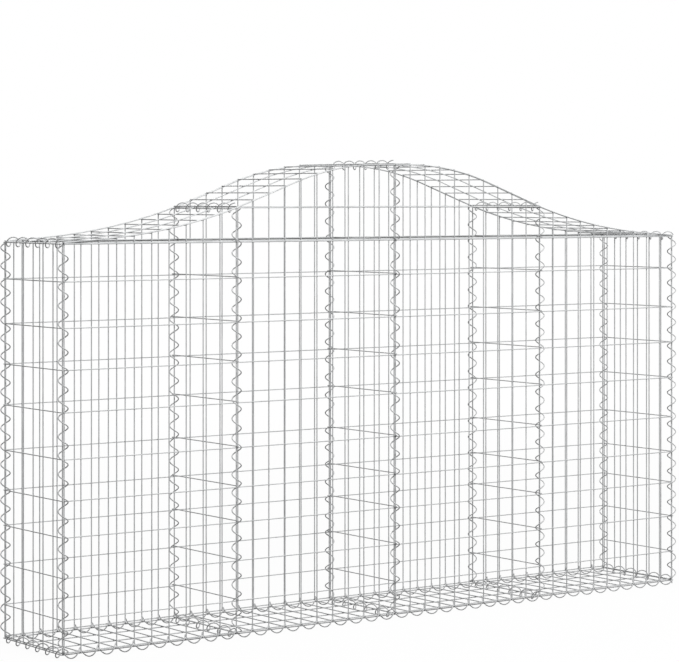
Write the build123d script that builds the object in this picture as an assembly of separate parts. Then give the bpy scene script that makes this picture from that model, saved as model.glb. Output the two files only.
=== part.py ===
"""Arched gabion basket: welded mesh panels in four bays, laced together by spiral binders.

Millimetres, +X along the wall, +Y to the back, +Z up, with the origin on the ground under the middle.
Every wire has a square section, and the wires of a panel are fused where they cross.
"""

from build123d import *
import math
import os
from itertools import pairwise

# Overall sizes, between the centres of the outer wires
LENGTH = 2000
DEPTH = 300
WALL_HEIGHT = 993
ARCH_RISE = 199
BAYS = 4

# Mesh of the panels
WIRE = 3.5
MESH_PITCH = 50
ROW_PITCH = 100
ROW_SHARES = (0.085, 0.187, 0.285, 0.374, 0.475, 0.589, 0.692, 0.794, 0.907)
SEAT_GAP = 0.3

# The arch: a level crown, a straight slope each side and a shallow toe, joined by bends
CROWN_CORNER_SHARE = 0.186
TOE_CORNER_SHARE = 0.669
TOE_RISE = 18
CROWN_BEND_SHARE = 0.75
TOE_BEND_SHARE = 0.54

# Spiral binders
COIL_WIRE = 3
COIL_RADIUS = 12
COIL_SIDES = 6
COIL_CLEARANCE = 0.15
COIL_PITCH = 44.8
COIL_END_TURN = 0.5

# Spacer ties across the basket
TIE_WIRE = 3
TIE_HOOK = 6

# What a binder holds: the edge wires lie against the inside of its turns
HALF_WIRE = WIRE / 2
HALF_SIDE = math.pi / COIL_SIDES
COIL_BITE = COIL_RADIUS * math.cos(HALF_SIDE) - COIL_WIRE / math.sqrt(2) - COIL_CLEARANCE
SEAM_SETBACK = COIL_BITE - HALF_WIRE
CORNER_AXIS = COIL_BITE / math.sqrt(2) - HALF_WIRE
CORNER_SETBACK = 2 * CORNER_AXIS
BASE_DROP = (CORNER_AXIS + HALF_WIRE) * math.cos(HALF_SIDE)
BASE_SETBACK = (COIL_BITE - BASE_DROP) / math.sin(HALF_SIDE) - HALF_WIRE

HALF_LENGTH = LENGTH / 2
HALF_DEPTH = DEPTH / 2
BAY = LENGTH / BAYS
SEAMS = [BAY * n - HALF_LENGTH for n in range(BAYS + 1)]
INNER_SEAMS = SEAMS[1:-1]
ROWS = [CORNER_SETBACK] + [WALL_HEIGHT * share for share in ROW_SHARES] + [WALL_HEIGHT]
CROWN_HEIGHT = WALL_HEIGHT + ARCH_RISE
ARCH_BASE = WALL_HEIGHT + WIRE
ARCH_END = ARCH_BASE + WIRE + SEAT_GAP


def spaced(low, high, pitch, low_setback, high_setback):
    """Places from low to high, about pitch apart, with the two edge wires set back."""
    cells = max(1, round((high - low) / pitch))
    places = [low + (high - low) * n / cells for n in range(cells + 1)]
    return [low + low_setback] + places[1:-1] + [high - high_setback]


def depth_places(pitch, setback):
    return spaced(-HALF_DEPTH, HALF_DEPTH, pitch, setback, setback)


def rectangle(low_x, low_y, high_x, high_y):
    middle = Pos((low_x + high_x) / 2, (low_y + high_y) / 2)
    return middle * Rectangle(high_x - low_x, high_y - low_y)


def cells_between(xs, ys):
    """The openings of a mesh that has a wire along each x and each y."""
    return [
        rectangle(x0 + HALF_WIRE, y0 + HALF_WIRE, x1 - HALF_WIRE, y1 - HALF_WIRE)
        for x0, x1 in pairwise(xs)
        for y0, y1 in pairwise(ys)
    ]


def mesh_outline(xs, ys):
    return rectangle(xs[0] - HALF_WIRE, ys[0] - HALF_WIRE, xs[-1] + HALF_WIRE, ys[-1] + HALF_WIRE)


def mesh_face(xs, ys):
    return mesh_outline(xs, ys) - cells_between(xs, ys)


def bend_radius(run, before, corner, after):
    """The radius of a bend at corner that takes up run of the straight on each side."""
    turn = (corner - before).get_angle(after - corner)
    return run / math.tan(math.radians(turn / 2))


def arch_line():
    """The line of the lid's wires along the wall, from end to end."""
    crown_x = HALF_LENGTH * CROWN_CORNER_SHARE
    toe_x = HALF_LENGTH * TOE_CORNER_SHARE
    end = Vector(HALF_LENGTH, ARCH_END)
    toe = Vector(toe_x, ARCH_END + TOE_RISE)
    crown = Vector(crown_x, CROWN_HEIGHT)
    middle = Vector(0, CROWN_HEIGHT)
    crown_radius = bend_radius((crown - middle).length * CROWN_BEND_SHARE, middle, crown, toe)
    toe_radius = bend_radius((end - toe).length * TOE_BEND_SHARE, crown, toe, end)
    right = [crown, toe, end]
    left = [Vector(-point.X, point.Y) for point in reversed(right)]
    return FilletPolyline(*left, *right, radius=[toe_radius, crown_radius, crown_radius, toe_radius])


ARCH = arch_line()


def under_arch(drop):
    """Everything between the ground and a line that lies drop below the arch."""
    top = Pos(0, -drop) * ARCH
    left, right = top @ 0, top @ 1
    sides = Polyline(left, (left.X, 0), (right.X, 0), right)
    return make_face(top.edges() + sides.edges())


def arch_height(x):
    plumb = Line((x, 0), (x, CROWN_HEIGHT + WALL_HEIGHT))
    return max(vertex.Y for vertex in (ARCH.wire() & plumb).vertices())


def bay_wires(bay, seam_setback=SEAM_SETBACK):
    low_setback = seam_setback if bay else CORNER_SETBACK
    high_setback = seam_setback if bay < BAYS - 1 else CORNER_SETBACK
    return spaced(SEAMS[bay], SEAMS[bay + 1], MESH_PITCH, low_setback, high_setback)


def stand_up(face):
    """A face drawn in X and Z, as a panel of one wire's thickness in the front of the basket."""
    return Plane.XZ.offset(HALF_DEPTH - HALF_WIRE) * extrude(face, WIRE)


def wall_panel(bay):
    return stand_up(mesh_face(bay_wires(bay), ROWS))


def arch_panel(bay):
    """The mesh between the wall's top wire and the lid, with a level wire where the bay is tall enough."""
    xs = bay_wires(bay)
    level = min(arch_height(SEAMS[bay]), arch_height(SEAMS[bay + 1]))
    levels = [ARCH_BASE, CROWN_HEIGHT]
    if level > ARCH_BASE + ROW_PITCH / 2:
        levels.insert(1, level)
    seat = HALF_WIRE + SEAT_GAP
    openings = [cell & under_arch(seat + WIRE) for cell in cells_between(xs, levels)]
    outline = mesh_outline(xs, levels) & under_arch(seat)
    return stand_up(outline - [opening for opening in openings if opening.area])


def end_panel():
    ys = depth_places(MESH_PITCH, CORNER_SETBACK)
    return Plane.YZ.offset(-HALF_LENGTH - HALF_WIRE) * extrude(mesh_face(ys, ROWS), WIRE)


def base_panel(bay):
    ys = depth_places(ROW_PITCH, CORNER_SETBACK)
    return Pos(0, 0, -HALF_WIRE) * extrude(mesh_face(bay_wires(bay, BASE_SETBACK), ys), WIRE)


def lid_panel(bay):
    """A flat mesh, projected on a sheet that follows the arch."""
    sheet = under_arch(-HALF_WIRE) - under_arch(HALF_WIRE)
    sheet = Plane.XZ * extrude(sheet, DEPTH, both=True)
    return sheet & extrude(mesh_face(bay_wires(bay), depth_places(ROW_PITCH, 0)), CROWN_HEIGHT + WALL_HEIGHT)


def coil(stations, outward, place):
    """A spiral binder along local Z that passes each station on its outward side.

    stations are the places of the wires that it laces, and it makes whole turns between two of them.
    """
    marks = []
    for low, high in pairwise(stations):
        turns = max(1, round((high - low) / COIL_PITCH))
        marks += [low + (high - low) * n / turns for n in range(turns)]
    marks.append(stations[-1])
    steps = round((len(marks) - 1 - 2 * COIL_END_TURN) * COIL_SIDES)
    points = []
    for step in range(steps + 1):
        turn = COIL_END_TURN + step / COIL_SIDES
        mark = int(turn)
        along = marks[mark] + (marks[mark + 1] - marks[mark]) * (turn - mark)
        angle = math.radians(outward + 360 * turn)
        points.append(Vector(COIL_RADIUS * math.cos(angle), COIL_RADIUS * math.sin(angle), along))
    path = Polyline(*points)
    section = Plane(origin=path @ 0, z_dir=path % 0) * Rectangle(COIL_WIRE, COIL_WIRE)
    return place * sweep(section, path=path, transition=Transition.RIGHT)


def along_y(x, z):
    """Local Z runs along +Y, local X along +X and local Y down."""
    return Location(Plane(origin=(x, 0, z), x_dir=(1, 0, 0), z_dir=(0, 1, 0)))


def along_x(y, z):
    """Local Z runs along +X, local X along +Y and local Y up."""
    return Location(Plane(origin=(0, y, z), x_dir=(0, 1, 0), z_dir=(1, 0, 0)))


OUT_FRONT, OUT_CORNER, OUT_DOWN, OUT_UP, OUT_LOW_LEFT, OUT_HIGH_LEFT = 270, 225, 90, 270, 135, 225


def corner_coil():
    place = Pos(-HALF_LENGTH + CORNER_AXIS, -HALF_DEPTH + CORNER_AXIS)
    return coil([0] + ROWS[1:], OUT_CORNER, place)


def seam_coil(x):
    """The binder of the front wall at an inner seam, from the base to the lid."""
    top = arch_height(x)
    stations = [0] + ROWS[1:] + [top]
    neighbours = [arch_height(x - BAY), arch_height(x + BAY)]
    level = max(height for height in neighbours if height < top) if top > min(neighbours) else top
    if level > WALL_HEIGHT + ROW_PITCH / 2:
        stations.insert(-1, level)
    return coil(stations, OUT_FRONT, Pos(x, -HALF_DEPTH))


def base_edge_coil():
    cells = round(BAY / MESH_PITCH) * BAYS
    stations = [LENGTH * n / cells - HALF_LENGTH for n in range(cells + 1)]
    return coil(stations, OUT_CORNER, along_x(-HALF_DEPTH + CORNER_AXIS, CORNER_AXIS))


def base_end_coil():
    place = along_y(-HALF_LENGTH + CORNER_AXIS, CORNER_AXIS)
    return coil(depth_places(MESH_PITCH, 0), OUT_LOW_LEFT, place)


def lid_end_coil():
    middle = (WALL_HEIGHT + arch_height(-HALF_LENGTH + CORNER_SETBACK)) / 2
    place = along_y(-HALF_LENGTH + CORNER_AXIS, middle)
    return coil(depth_places(MESH_PITCH, 0), OUT_HIGH_LEFT, place)


def base_seam_coil(x):
    return coil(depth_places(ROW_PITCH, 0), OUT_DOWN, along_y(x, CORNER_AXIS))


def lid_seam_coil(x):
    return coil(depth_places(ROW_PITCH, 0), OUT_UP, along_y(x, arch_height(x)))


def spacer_tie(x, z):
    """A wire through both walls between the edge wires of two bays, hooked over outside."""
    reach = HALF_DEPTH + HALF_WIRE + SEAT_GAP + TIE_WIRE / 2
    path = Polyline((TIE_HOOK, -reach), (0, -reach), (0, reach), (TIE_HOOK, reach))
    section = Plane(origin=path @ 0, z_dir=path % 0) * Rectangle(TIE_WIRE, TIE_WIRE)
    return Pos(x, 0, z) * sweep(section, path=path, transition=Transition.RIGHT)


def behind(part):
    return mirror(part, about=Plane.XZ)


def across(part):
    return mirror(part, about=Plane.YZ)


def build_nodes():
    nodes = {}
    for bay in range(BAYS):
        nodes[f"front_panel_{bay + 1}"] = wall_panel(bay)
        nodes[f"front_arch_panel_{bay + 1}"] = arch_panel(bay)
        nodes[f"base_panel_{bay + 1}"] = base_panel(bay)
        nodes[f"lid_panel_{bay + 1}"] = lid_panel(bay)
    coils = [corner_coil()] + [seam_coil(x) for x in INNER_SEAMS] + [across(corner_coil())]
    for number, binder in enumerate(coils, 1):
        nodes[f"front_coil_{number}"] = binder
    nodes["front_base_coil"] = base_edge_coil()
    nodes |= {name.replace("front", "back"): behind(p) for name, p in nodes.items() if "front" in name}
    nodes["left_end_panel"] = end_panel()
    nodes["right_end_panel"] = across(end_panel())
    base_end, lid_end = base_end_coil(), lid_end_coil()
    base_seams = [base_seam_coil(x) for x in INNER_SEAMS]
    lid_seams = [lid_seam_coil(x) for x in INNER_SEAMS]
    nodes["base_seam_coils"] = Compound([base_end, *base_seams, across(base_end)])
    nodes["lid_seam_coils"] = Compound([lid_end, *lid_seams, across(lid_end)])
    for number, x in enumerate(INNER_SEAMS, 1):
        nodes[f"spacer_ties_{number}"] = Compound([spacer_tie(x, z) for z in ROWS[1:]])
    return nodes


NODES = build_nodes()
GROUND = min(part.bounding_box().min.Z for part in NODES.values())
os.makedirs("parts", exist_ok=True)
for node, part in NODES.items():
    export_step(Pos(0, 0, -GROUND) * part, f"parts/{node}.step")
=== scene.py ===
import math
from itertools import pairwise

import bpy
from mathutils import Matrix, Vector


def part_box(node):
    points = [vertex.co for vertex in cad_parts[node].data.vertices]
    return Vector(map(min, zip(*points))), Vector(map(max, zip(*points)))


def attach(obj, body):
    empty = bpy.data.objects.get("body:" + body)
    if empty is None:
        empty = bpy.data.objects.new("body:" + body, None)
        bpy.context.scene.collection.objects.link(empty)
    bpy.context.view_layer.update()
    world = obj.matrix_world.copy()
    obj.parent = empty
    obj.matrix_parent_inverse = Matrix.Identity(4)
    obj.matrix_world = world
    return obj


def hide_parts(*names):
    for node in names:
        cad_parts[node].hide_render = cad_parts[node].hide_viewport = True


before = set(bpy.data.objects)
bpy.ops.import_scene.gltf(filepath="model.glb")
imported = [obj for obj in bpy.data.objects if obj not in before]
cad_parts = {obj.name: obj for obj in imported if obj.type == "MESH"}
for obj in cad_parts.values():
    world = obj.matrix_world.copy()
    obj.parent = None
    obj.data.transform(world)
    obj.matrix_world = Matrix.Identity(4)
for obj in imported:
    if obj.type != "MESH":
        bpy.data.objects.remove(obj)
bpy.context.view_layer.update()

# Sizes in metres, as in the part's source but for the toe of the arch, which comes down to the rail
LENGTH = 2.0
DEPTH = 0.3
WALL_HEIGHT = 0.993
ARCH_RISE = 0.199
BAYS = 4
MESH_PITCH = 0.05
ROW_PITCH = 0.1
ROW_SHARES = (0.085, 0.187, 0.285, 0.374, 0.475, 0.589, 0.692, 0.794, 0.907)
CROWN_CORNER_SHARE = 0.186
TOE_CORNER_SHARE = 0.66
TOE_RISE = 0.025
CROWN_BEND_SHARE = 0.75
TOE_BEND_SHARE = 0.65

# Widths of the round wires, and how finely they are divided
WIRE = 0.003
ROW_WIRE = 0.0026
RAIL_WIRE = 0.0035
COIL_WIRE = 0.003
TIE_WIRE = 0.0026
TIE_CORNER_SHARE = 0.3
WIRE_SIDES = 8
CURVE_STEP = 0.0125

# Distances of a mesh's two layers from its middle, and of its edge wires from seams and corners
LAYER = 0.0013
SEAM_SETBACK = 0.001
SEAM_LAP = 0.0016
CORNER_SETBACK = 0.0036

# Heights of the lowest wires of the walls, ends and base, and small steps of the level wires
FOOT = 0.0065
END_FOOT = 0.0015
BASE_LONG = 0.0014
BASE_CROSS = 0.0042
ROW_LIFT = 0.001
RAIL_STEP = 0.0024

# Spiral binders
COIL_RADIUS = 0.0118
COIL_STEPS = 16
COIL_END_TURN = 0.15
CORNER_COIL_PITCH = 0.0452
SEAM_COIL_PITCH = 0.0466
MIDDLE_COIL_PITCH = 0.0476
CORNER_AXIS = 0.003

# Angles in degrees about the binders' axes: how far they keep from wires that they go between, where they
# pass what they lace, and their outermost points to the right and left as the photograph shows them
COIL_CLEAR = 26
EDGE_AT = 80
LEFT_FOOT_AT = 311
FOOT_SEAM_AT = 325
RIGHT_FOOT_AT = 116
LEFT_LID_AT = 311
LID_SEAM_AT = 325
RIGHT_LID_AT = 40
RIGHT_TIP = 323.6
LEFT_TIP = 143.6

# The way the binders across the base and lid wind, and for the upright ones, from left to right, the way
# each winds and the height of its first outermost point
CROSS_HAND = -1
FRONT_HANDS = (-1, -1, -1, 1, 1)
FRONT_TIPS = (0.009, 0.010, 0.000, 0.009, 0.001)
BACK_HANDS = (-1, -1, 1, 1, -1)
BACK_TIPS = (0.009, 0.018, 0.040, 0.002, 0.011)

# Zinc: a mottle of a dark and a light grey for each kind of wire, and a finer change of gloss
METALLIC = 0.1
MOTTLE_SCALE = 22
MOTTLE_DETAIL = 6
MOTTLE_ROUGHNESS = 0.65
MOTTLE_DARK_END = 0.32
MOTTLE_LIGHT_END = 0.68
GRAIN_SCALE = 240
GLOSS_CHANGE = 0.12
MESH_GREYS = ((0.49, 0.50, 0.505), (0.64, 0.65, 0.655))
MESH_ROUGHNESS = 0.48
BINDER_GREYS = ((0.44, 0.445, 0.45), (0.60, 0.605, 0.61))
BINDER_ROUGHNESS = 0.45
TIE_GREYS = ((0.42, 0.425, 0.43), (0.57, 0.575, 0.58))
TIE_ROUGHNESS = 0.5

# Floor, world and lamps
FLOOR_SIZE = 60
FLOOR_NEAR = 1.5
FLOOR_FAR = 6
FLOOR_SHOWN_WHITE = 0.95
FLOOR_SHOWN_GREY = 0.86
FLOOR_BOUNCE = 0.08
WORLD_LIGHT = 0.08
LAMP_SIZE = 2.5
LIT_POINT = (0, 0, 0.5)
FRONT_LAMP_AT = (0.2, -4.3, 4.6)
FRONT_LAMP_POWER = 380
BACK_LAMP_AT = (-0.2, 4.3, 4.6)
BACK_LAMP_POWER = 140

# Camera, from a fit to the mesh in the photograph: in pixels, with the yaw in degrees and the sensor in mm
PHOTO_WIDTH = 679
PHOTO_HEIGHT = 662
HALF_PIXEL = 0.5
FOCAL_PIXELS = 2513.1
CENTRE_PIXEL = 378.0
HORIZON_PIXEL = 195.08
SENSOR = 36
CAMERA_YAW = 36.381
CAMERA_X = -3.9808
CAMERA_Y = -5.4793
CAMERA_ABOVE_BASE = 1.110

# Places worked out from these
HALF_LENGTH = LENGTH / 2
HALF_DEPTH = DEPTH / 2
BAY = LENGTH / BAYS
SEAMS = [BAY * n - HALF_LENGTH for n in range(BAYS + 1)]
INNER_SEAMS = SEAMS[1:-1]
CROWN_HEIGHT = WALL_HEIGHT + ARCH_RISE
ARCH_BASE = WALL_HEIGHT + RAIL_STEP
ARCH_END = WALL_HEIGHT + WIRE
ROWS = [FOOT] + [WALL_HEIGHT * share + ROW_LIFT for share in ROW_SHARES] + [WALL_HEIGHT]
TIE_BESIDE = SEAM_SETBACK + WIRE / 2 + TIE_WIRE / 2

# All heights count from the base wires of the solids
base_low, base_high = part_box("base_panel_1")
BASE_Z = (base_low[2] + base_high[2]) / 2


def spaced(low, high, pitch):
    """Places from low to high, about a pitch apart."""
    cells = max(1, round((high - low) / pitch))
    return [low + (high - low) * n / cells for n in range(cells + 1)]


def bay_wires(bay):
    """Places of the cross wires or uprights of a bay, with its edge wires beside those of the next bay."""
    places = spaced(SEAMS[bay], SEAMS[bay + 1], MESH_PITCH)
    places[0] += SEAM_SETBACK if bay else CORNER_SETBACK
    places[-1] -= SEAM_SETBACK if bay < BAYS - 1 else CORNER_SETBACK
    return places


def bay_shift(bay):
    """Each bay stands a little nearer or farther than the next, so that their edge uprights lap."""
    return SEAM_LAP if bay % 2 else -SEAM_LAP


def depth_wires(pitch, setback):
    """Places of the wires across the depth, with the two outer ones set back."""
    places = spaced(-HALF_DEPTH, HALF_DEPTH, pitch)
    places[0] += setback
    places[-1] -= setback
    return places


class Bend:
    """One bend of the arch: an arc that takes up run of the straight on each side of a corner."""

    def __init__(self, before, corner, after, run):
        into = (corner - before).normalized()
        out = (after - corner).normalized()
        self.start = corner - into * run
        self.end = corner + out * run
        turn = into.angle(out)
        self.radius = run / math.tan(turn / 2)
        self.side = 1 if into.x * out.y - into.y * out.x > 0 else -1
        self.centre = self.start + Vector((-into.y, into.x)) * self.radius * self.side

    def height(self, x):
        return self.centre.y - self.side * math.sqrt(self.radius**2 - (x - self.centre.x) ** 2)


CROWN_MIDDLE = Vector((0, CROWN_HEIGHT))
CROWN = Vector((HALF_LENGTH * CROWN_CORNER_SHARE, CROWN_HEIGHT))
TOE = Vector((HALF_LENGTH * TOE_CORNER_SHARE, ARCH_END + TOE_RISE))
ARCH_TIP = Vector((HALF_LENGTH, ARCH_END))
CROWN_BEND = Bend(CROWN_MIDDLE, CROWN, TOE, CROWN.x * CROWN_BEND_SHARE)
TOE_BEND = Bend(CROWN, TOE, ARCH_TIP, (ARCH_TIP - TOE).length * TOE_BEND_SHARE)


def on_line(a, b, x):
    """Height at x of the line through two points."""
    return a.y + (b.y - a.y) * (x - a.x) / (b.x - a.x)


def arch(x):
    """Height of the lid's wires above the base wires at x."""
    x = abs(x)
    if x <= CROWN_BEND.start.x:
        return CROWN_HEIGHT
    if x <= CROWN_BEND.end.x:
        return CROWN_BEND.height(x)
    if x <= TOE_BEND.start.x:
        return on_line(CROWN, TOE, x)
    if x <= TOE_BEND.end.x:
        return TOE_BEND.height(x)
    return on_line(TOE, ARCH_TIP, x)


def along_arch(low, high, y):
    """Points of a wire that follows the arch from low to high."""
    steps = max(2, math.ceil((high - low) / CURVE_STEP))
    xs = [low + (high - low) * n / steps for n in range(steps + 1)]
    return [(x, y, arch(x)) for x in xs]


def to_back(points):
    """Points of the front, mirrored to the back."""
    return [(x, -y, z) for x, y, z in points]


class Wires:
    """Round wires, gathered into one mesh."""

    def __init__(self):
        self.vertices = []
        self.faces = []
        self.flat = set()

    def ring(self, centre, across, up, radius):
        """Adds a ring of vertices around a wire, and gives the number of the first."""
        first = len(self.vertices)
        for side in range(WIRE_SIDES):
            angle = math.tau * side / WIRE_SIDES
            offset = across * math.cos(angle) + up * math.sin(angle)
            self.vertices.append(centre + offset * radius)
        return first

    def add(self, points, width):
        """A wire of that width along points given above the base wires, with flat ends."""
        points = [Vector((x, y, z + BASE_Z)) for x, y, z in points]
        radius = width / 2
        ways = [(b - a).normalized() for a, b in pairwise(points)]
        across = ways[0].orthogonal().normalized()
        rings = []
        for n, point in enumerate(points):
            before = ways[max(n - 1, 0)]
            after = ways[min(n, len(ways) - 1)]
            way = (before + after).normalized()
            across = (across - way * across.dot(way)).normalized()
            rings.append(self.ring(point, across, way.cross(across), radius))
            if n in (0, len(points) - 1):
                end = self.ring(point, across, way.cross(across), radius)
                cap = list(range(end, end + WIRE_SIDES))
                self.flat.add(len(self.faces))
                self.faces.append(cap[::-1] if n == 0 else cap)
        for a, b in pairwise(rings):
            for side in range(WIRE_SIDES):
                after = (side + 1) % WIRE_SIDES
                self.faces.append((a + side, a + after, b + after, b + side))

    def piece(self, node, slot, material):
        """The piece of the scene that takes the place of a node."""
        mesh = bpy.data.meshes.new(node + "_wire")
        mesh.from_pydata([tuple(v) for v in self.vertices], [], self.faces)
        smooth = [n not in self.flat for n in range(len(self.faces))]
        mesh.polygons.foreach_set("use_smooth", smooth)
        mesh.materials.append(material)
        mesh.update()
        piece = bpy.data.objects.new(node + "_wire", mesh)
        bpy.context.scene.collection.objects.link(piece)
        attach(piece, "root")
        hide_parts(node)


def galvanised(name, greys, roughness):
    """Dull zinc on steel: a soft mottle of two greys, with a finer change of gloss."""
    dark, light = greys
    material = bpy.data.materials.new(name)
    material.use_nodes = True
    nodes = material.node_tree.nodes
    link = material.node_tree.links.new
    shader = nodes["Principled BSDF"]
    shader.inputs["Metallic"].default_value = METALLIC
    place = nodes.new("ShaderNodeTexCoord")
    mottle = nodes.new("ShaderNodeTexNoise")
    mottle.inputs["Scale"].default_value = MOTTLE_SCALE
    mottle.inputs["Detail"].default_value = MOTTLE_DETAIL
    mottle.inputs["Roughness"].default_value = MOTTLE_ROUGHNESS
    ramp = nodes.new("ShaderNodeValToRGB")
    ramp.color_ramp.elements[0].position = MOTTLE_DARK_END
    ramp.color_ramp.elements[0].color = (*dark, 1)
    ramp.color_ramp.elements[1].position = MOTTLE_LIGHT_END
    ramp.color_ramp.elements[1].color = (*light, 1)
    grain = nodes.new("ShaderNodeTexNoise")
    grain.inputs["Scale"].default_value = GRAIN_SCALE
    gloss = nodes.new("ShaderNodeMapRange")
    gloss.inputs["To Min"].default_value = roughness - GLOSS_CHANGE
    gloss.inputs["To Max"].default_value = roughness + GLOSS_CHANGE
    link(place.outputs["Object"], mottle.inputs["Vector"])
    link(place.outputs["Object"], grain.inputs["Vector"])
    link(mottle.outputs["Fac"], ramp.inputs["Fac"])
    link(ramp.outputs["Color"], shader.inputs["Base Color"])
    link(grain.outputs["Fac"], gloss.inputs["Value"])
    link(gloss.outputs["Result"], shader.inputs["Roughness"])
    return material


MESH_LOOK = galvanised("mesh_wire", MESH_GREYS, MESH_ROUGHNESS)
BINDER_LOOK = galvanised("binder_wire", BINDER_GREYS, BINDER_ROUGHNESS)
TIE_LOOK = galvanised("tie_wire", TIE_GREYS, TIE_ROUGHNESS)


def wall_panel(name, bay, side):
    """Uprights inside and level wires outside, welded where they cross."""
    xs = bay_wires(bay)
    wires = Wires()
    low, high = xs[0] - WIRE / 2, xs[-1] + WIRE / 2
    middle = side * HALF_DEPTH + bay_shift(bay)
    outer, inner = middle + side * LAYER, middle - side * LAYER
    for x in xs:
        wires.add([(x, inner, ROWS[0] - WIRE / 2), (x, inner, ROWS[-1] + WIRE / 2)], WIRE)
    wires.add([(low, outer, ROWS[0]), (high, outer, ROWS[0])], WIRE)
    for z in ROWS[1:-1]:
        wires.add([(low, outer, z), (high, outer, z)], ROW_WIRE)
    wires.add([(low, outer, ROWS[-1]), (high, outer, ROWS[-1])], RAIL_WIRE)
    wires.piece(f"{name}_panel_{bay + 1}", "mesh_wire", MESH_LOOK)


def arch_panel(name, bay, side):
    """Uprights that carry on those of the wall, with the bottom wire behind the wall's top wire."""
    xs = bay_wires(bay)
    wires = Wires()
    low, high = xs[0] - WIRE / 2, xs[-1] + WIRE / 2
    middle = side * HALF_DEPTH + bay_shift(bay)
    outer, inner = middle + side * LAYER, middle - side * LAYER
    hidden = inner - 2 * side * LAYER
    for x in xs:
        wires.add([(x, inner, ARCH_BASE), (x, inner, arch(x) + WIRE / 2)], WIRE)
    wires.add([(low, hidden, ARCH_BASE), (high, hidden, ARCH_BASE)], RAIL_WIRE)
    wires.add(along_arch(low, high, outer), WIRE)
    level = min(arch(SEAMS[bay]), arch(SEAMS[bay + 1]))
    if level > ARCH_BASE + ROW_PITCH / 2:
        wires.add([(low, outer, level), (high, outer, level)], WIRE)
    wires.piece(f"{name}_arch_panel_{bay + 1}", "mesh_wire", MESH_LOOK)


def end_panel(name, end):
    """Uprights inside and level wires outside, as in the walls."""
    ys = depth_wires(MESH_PITCH, CORNER_SETBACK)
    wires = Wires()
    low, high = ys[0] - WIRE / 2, ys[-1] + WIRE / 2
    outer, inner = end * (HALF_LENGTH + LAYER), end * (HALF_LENGTH - LAYER)
    for y in ys:
        wires.add([(inner, y, END_FOOT - WIRE / 2), (inner, y, ROWS[-1] + WIRE / 2)], WIRE)
    wires.add([(outer, low, END_FOOT), (outer, high, END_FOOT)], WIRE)
    for z in ROWS[1:-1]:
        wires.add([(outer, low, z), (outer, high, z)], ROW_WIRE)
    wires.add([(outer, low, ROWS[-1]), (outer, high, ROWS[-1])], WIRE)
    wires.piece(f"{name}_end_panel", "mesh_wire", MESH_LOOK)


def base_panel(bay):
    """Long wires with the cross wires on top, which end at the feet of the walls' uprights."""
    xs = bay_wires(bay)
    ys = depth_wires(ROW_PITCH, CORNER_SETBACK)
    wires = Wires()
    for x in xs:
        wires.add([(x, ys[0] - WIRE / 2, BASE_CROSS), (x, ys[-1] + WIRE / 2, BASE_CROSS)], WIRE)
    for y in ys:
        wires.add([(xs[0] - WIRE / 2, y, BASE_LONG), (xs[-1] + WIRE / 2, y, BASE_LONG)], WIRE)
    wires.piece(f"base_panel_{bay + 1}", "mesh_wire", MESH_LOOK)


def lid_panel(bay):
    """Long wires that follow the arch, with cross wires on them, or under them in the two outer bays."""
    xs = bay_wires(bay)
    ys = depth_wires(ROW_PITCH, LAYER + WIRE)
    wires = Wires()
    over = -1 if bay in (0, BAYS - 1) else 1
    for x in xs:
        z = arch(x) + over * 2 * LAYER
        wires.add([(x, -HALF_DEPTH, z), (x, HALF_DEPTH, z)], WIRE)
    for y in ys:
        wires.add(along_arch(xs[0] - WIRE / 2, xs[-1] + WIRE / 2, y), WIRE)
    wires.piece(f"lid_panel_{bay + 1}", "mesh_wire", MESH_LOOK)


def coil(turn_places, angle_there, place, hand):
    """Points of a spiral binder that passes each of those places at that angle, a turn apart."""
    steps = round((len(turn_places) - 1 - 2 * COIL_END_TURN) * COIL_STEPS)
    points = []
    for step in range(steps + 1):
        turn = COIL_END_TURN + step / COIL_STEPS
        n = min(int(turn), len(turn_places) - 2)
        along = turn_places[n] + (turn_places[n + 1] - turn_places[n]) * (turn - n)
        angle = math.radians(angle_there + 360 * turn * hand)
        points.append(place(COIL_RADIUS * math.cos(angle), COIL_RADIUS * math.sin(angle), along))
    return points


def nudge(angle, crossings):
    """Degrees by which a binder turns on, so that it doesn't meet a wire where it goes through a mesh."""
    for crossing in crossings:
        apart = (angle - crossing + 180) % 360 - 180
        if abs(apart) < COIL_CLEAR:
            return math.copysign(COIL_CLEAR, apart) - apart
    return 0


def standing_coil(place, low, high, pitch, tip, tip_angle, hand, stations, crossings):
    """Points of an upright binder, at tip_angle at the height tip and clear of the wires at its stations."""
    def even(z):
        return tip_angle + hand * 360 * (z - tip) / pitch

    marks = [(low, 0)] + [(z, nudge(even(z), crossings)) for z in stations] + [(high, 0)]
    points = []
    for (z_one, nudge_one), (z_two, nudge_two) in pairwise(marks):
        steps = max(1, round((z_two - z_one) / pitch * COIL_STEPS))
        for step in range(steps):
            share = step / steps
            z = z_one + (z_two - z_one) * share
            angle = math.radians(even(z) + nudge_one + (nudge_two - nudge_one) * share)
            points.append(place(COIL_RADIUS * math.cos(angle), COIL_RADIUS * math.sin(angle), z))
    return points


def upright_at(x, y):
    return lambda a, b, along: (x + a, y + b, along)


def along_y(x, z):
    return lambda a, b, along: (x + a, along, z - b)


def along_x(y, z):
    return lambda a, b, along: (along, y + a, z + b)


def coil_piece(node, *paths):
    wires = Wires()
    for path in paths:
        wires.add(path, COIL_WIRE)
    wires.piece(node, "binder_wire", BINDER_LOOK)


def turned(x, y):
    return math.degrees(math.atan2(y, x))


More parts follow.
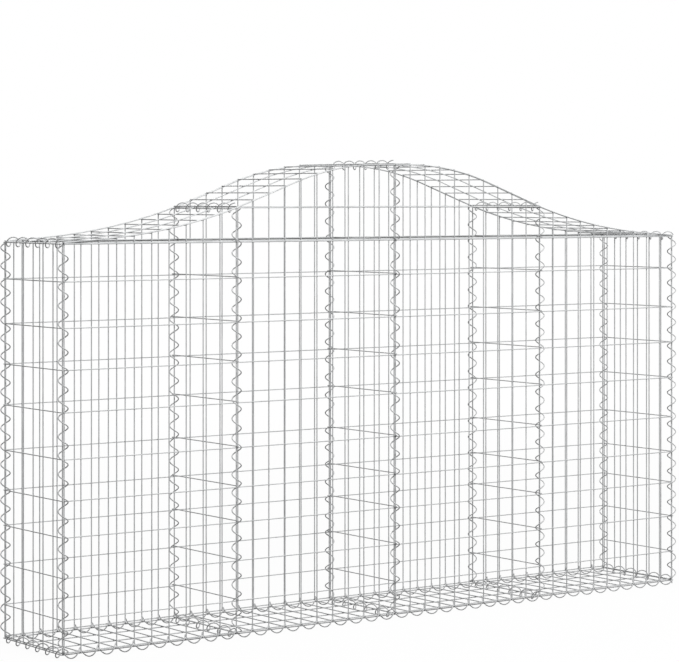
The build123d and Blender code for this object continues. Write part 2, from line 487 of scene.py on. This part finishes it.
def corner_coil(name, number, side, end, tip, tip_angle, hand):
    """An upright binder on the edge wires of a wall and an end panel."""
    place = upright_at(end * (HALF_LENGTH - CORNER_AXIS), side * (HALF_DEPTH - CORNER_AXIS))
    out = CORNER_AXIS + LAYER
    through = math.sqrt(COIL_RADIUS**2 - out**2)
    crossings = [turned(-end * through, side * out), turned(end * out, -side * through)]
    high = WALL_HEIGHT + FOOT
    path = standing_coil(place, FOOT, high, CORNER_COIL_PITCH, tip, tip_angle, hand, ROWS[1:], crossings)
    coil_piece(f"{name}_coil_{number}", path)


def seam_coil(name, number, side, pitch, tip, tip_angle, hand):
    """An upright binder on the edge wires of two bays of a wall, and around the ends of its ties."""
    x = SEAMS[number - 1]
    place = upright_at(x, side * HALF_DEPTH)
    crossings = [turned(COIL_RADIUS, side * LAYER), turned(-COIL_RADIUS, side * LAYER)]
    crossings.append(turned(TIE_BESIDE, -side * COIL_RADIUS))
    stations = ROWS[1:]
    level = min(arch(x - BAY), arch(x + BAY))
    if WALL_HEIGHT + ROW_PITCH / 2 < level < arch(x):
        stations = stations + [level]
    path = standing_coil(place, FOOT, arch(x), pitch, tip, tip_angle, hand, stations, crossings)
    coil_piece(f"{name}_coil_{number}", path)


def wall_coils(name, side, hands, tips):
    """The upright binders of a wall: one at each corner and one at each seam."""
    last = BAYS + 1
    for number, (hand, tip) in enumerate(zip(hands, tips), 1):
        tip_angle = LEFT_TIP if hand > 0 else RIGHT_TIP
        if number in (1, last):
            end = 1 if number == last else -1
            corner_coil(name, number, side, end, tip, tip_angle, hand)
        else:
            in_middle = 2 * number == last + 1
            pitch = MIDDLE_COIL_PITCH if in_middle else SEAM_COIL_PITCH
            seam_coil(name, number, side, pitch, tip, tip_angle, hand)


def base_edge_coil(name, side):
    """The binder along the foot of a wall, a turn to each upright."""
    place = along_x(-HALF_DEPTH + CORNER_AXIS, CORNER_AXIS)
    edge = coil(spaced(-HALF_LENGTH, HALF_LENGTH, MESH_PITCH), EDGE_AT, place, side)
    coil_piece(f"{name}_base_coil", to_back(edge) if side > 0 else edge)


def cross_coil(x, z, angle_there):
    """Points of a binder across the base or the lid."""
    return coil(spaced(-HALF_DEPTH, HALF_DEPTH, MESH_PITCH), angle_there, along_y(x, z), CROSS_HAND)


def cross_coils():
    """The binders across the base and across the lid, at the ends and at each seam."""
    end_x = HALF_LENGTH - CORNER_AXIS
    base_paths = [cross_coil(-end_x, CORNER_AXIS, LEFT_FOOT_AT)]
    base_paths += [cross_coil(x, CORNER_AXIS, FOOT_SEAM_AT) for x in INNER_SEAMS]
    base_paths.append(cross_coil(end_x, CORNER_AXIS, RIGHT_FOOT_AT))
    coil_piece("base_seam_coils", *base_paths)
    end_z = (WALL_HEIGHT + ARCH_END) / 2
    lid_paths = [cross_coil(-end_x, end_z, LEFT_LID_AT)]
    lid_paths += [cross_coil(x, arch(x), LID_SEAM_AT) for x in INNER_SEAMS]
    lid_paths.append(cross_coil(end_x, end_z, RIGHT_LID_AT))
    coil_piece("lid_seam_coils", *lid_paths)


def ties(number, seam):
    """Wires through both walls, with their ends bent over the edge uprights of two bays."""
    wires = Wires()
    reach = HALF_DEPTH + LAYER + WIRE / 2 + TIE_WIRE / 2
    x = seam + TIE_BESIDE
    corner = TIE_WIRE * TIE_CORNER_SHARE
    for row in ROWS[1:]:
        z = row + WIRE / 2 + TIE_WIRE / 2
        front = [(seam - TIE_BESIDE, -reach, z), (x - TIE_WIRE, -reach, z)]
        front += [(x - corner, -reach + corner, z), (x, -reach + TIE_WIRE, z)]
        wires.add(front + to_back(reversed(front)), TIE_WIRE)
    wires.piece(f"spacer_ties_{number}", "tie_wire", TIE_LOOK)


for name, side in (("front", -1), ("back", 1)):
    for bay in range(BAYS):
        wall_panel(name, bay, side)
        arch_panel(name, bay, side)
    base_edge_coil(name, side)
end_panel("left", -1)
end_panel("right", 1)
for bay in range(BAYS):
    base_panel(bay)
    lid_panel(bay)
wall_coils("front", -1, FRONT_HANDS, FRONT_TIPS)
wall_coils("back", 1, BACK_HANDS, BACK_TIPS)
cross_coils()
for number, seam in enumerate(INNER_SEAMS, 1):
    ties(number, seam)


def seen_directly(nodes, link):
    """1 for rays from the camera and for mirrored or transmitted ones, 0 for light that falls on things."""
    path = nodes.new("ShaderNodeLightPath")
    seen_or_mirrored = nodes.new("ShaderNodeMath")
    seen_or_mirrored.operation = "MAXIMUM"
    any_of_three = nodes.new("ShaderNodeMath")
    any_of_three.operation = "MAXIMUM"
    link(path.outputs["Is Camera Ray"], seen_or_mirrored.inputs[0])
    link(path.outputs["Is Glossy Ray"], seen_or_mirrored.inputs[1])
    link(seen_or_mirrored.outputs[0], any_of_three.inputs[0])
    link(path.outputs["Is Transmission Ray"], any_of_three.inputs[1])
    return any_of_three.outputs[0]


def floor_material():
    """White where it is seen, with a small matt share near the object, which takes its shadow."""
    material = bpy.data.materials.new("floor")
    material.use_nodes = True
    nodes = material.node_tree.nodes
    link = material.node_tree.links.new
    nodes.remove(nodes["Principled BSDF"])
    matt = nodes.new("ShaderNodeBsdfDiffuse")
    grey = nodes.new("ShaderNodeMapRange")
    grey.inputs["To Min"].default_value = FLOOR_BOUNCE
    grey.inputs["To Max"].default_value = FLOOR_SHOWN_GREY
    white = nodes.new("ShaderNodeEmission")
    place = nodes.new("ShaderNodeTexCoord")
    distance = nodes.new("ShaderNodeVectorMath")
    distance.operation = "LENGTH"
    whiteness = nodes.new("ShaderNodeMapRange")
    whiteness.inputs["From Min"].default_value = FLOOR_NEAR
    whiteness.inputs["From Max"].default_value = FLOOR_FAR
    whiteness.inputs["To Min"].default_value = FLOOR_SHOWN_WHITE
    whiteness.inputs["To Max"].default_value = 1
    share = nodes.new("ShaderNodeMath")
    share.operation = "MULTIPLY"
    mix = nodes.new("ShaderNodeMixShader")
    seen = seen_directly(nodes, link)
    link(seen, grey.inputs["Value"])
    link(grey.outputs["Result"], matt.inputs["Color"])
    link(place.outputs["Object"], distance.inputs[0])
    link(distance.outputs["Value"], whiteness.inputs["Value"])
    link(seen, share.inputs[0])
    link(whiteness.outputs["Result"], share.inputs[1])
    link(share.outputs[0], mix.inputs["Fac"])
    link(matt.outputs[0], mix.inputs[1])
    link(white.outputs[0], mix.inputs[2])
    link(mix.outputs[0], nodes["Material Output"].inputs["Surface"])
    return material


def add_floor():
    mesh = bpy.data.meshes.new("floor")
    half = FLOOR_SIZE / 2
    corners = [(-half, -half, 0), (half, -half, 0), (half, half, 0), (-half, half, 0)]
    mesh.from_pydata(corners, [], [(0, 1, 2, 3)])
    mesh.materials.append(floor_material())
    floor = bpy.data.objects.new("floor", mesh)
    bpy.context.scene.collection.objects.link(floor)


def add_world():
    """White where it is seen, and only a weak light on things."""
    world = bpy.data.worlds.new("studio")
    world.use_nodes = True
    nodes = world.node_tree.nodes
    link = world.node_tree.links.new
    background = nodes["Background"]
    background.inputs["Color"].default_value = (1, 1, 1, 1)
    strength = nodes.new("ShaderNodeMapRange")
    strength.inputs["To Min"].default_value = WORLD_LIGHT
    strength.inputs["To Max"].default_value = 1
    link(seen_directly(nodes, link), strength.inputs["Value"])
    link(strength.outputs["Result"], background.inputs["Strength"])
    bpy.context.scene.world = world


def softbox(name, place, power):
    """A square lamp that faces the middle of the object."""
    lamp = bpy.data.lights.new(name, "AREA")
    lamp.shape = "SQUARE"
    lamp.size = LAMP_SIZE
    lamp.energy = power
    box = bpy.data.objects.new(name, lamp)
    box.location = place
    way = Vector(LIT_POINT) - Vector(place)
    box.rotation_euler = way.to_track_quat("-Z", "Y").to_euler()
    bpy.context.scene.collection.objects.link(box)


def add_camera():
    """A level camera with its lens shifted, so that uprights stay upright."""
    lens = bpy.data.cameras.new("camera")
    lens.sensor_fit = "HORIZONTAL"
    lens.sensor_width = SENSOR
    lens.lens = SENSOR * FOCAL_PIXELS / PHOTO_WIDTH
    lens.shift_x = (PHOTO_WIDTH / 2 - CENTRE_PIXEL - HALF_PIXEL) / PHOTO_WIDTH
    lens.shift_y = (HORIZON_PIXEL + HALF_PIXEL - PHOTO_HEIGHT / 2) / PHOTO_WIDTH
    camera = bpy.data.objects.new("camera", lens)
    camera.location = (CAMERA_X, CAMERA_Y, CAMERA_ABOVE_BASE + BASE_Z)
    camera.rotation_euler = (math.pi / 2, 0, -math.radians(CAMERA_YAW))
    bpy.context.scene.collection.objects.link(camera)
    bpy.context.scene.camera = camera


add_floor()
add_world()
softbox("front", FRONT_LAMP_AT, FRONT_LAMP_POWER)
softbox("back", BACK_LAMP_AT, BACK_LAMP_POWER)
add_camera()
bpy.context.scene.view_settings.view_transform = "Standard"
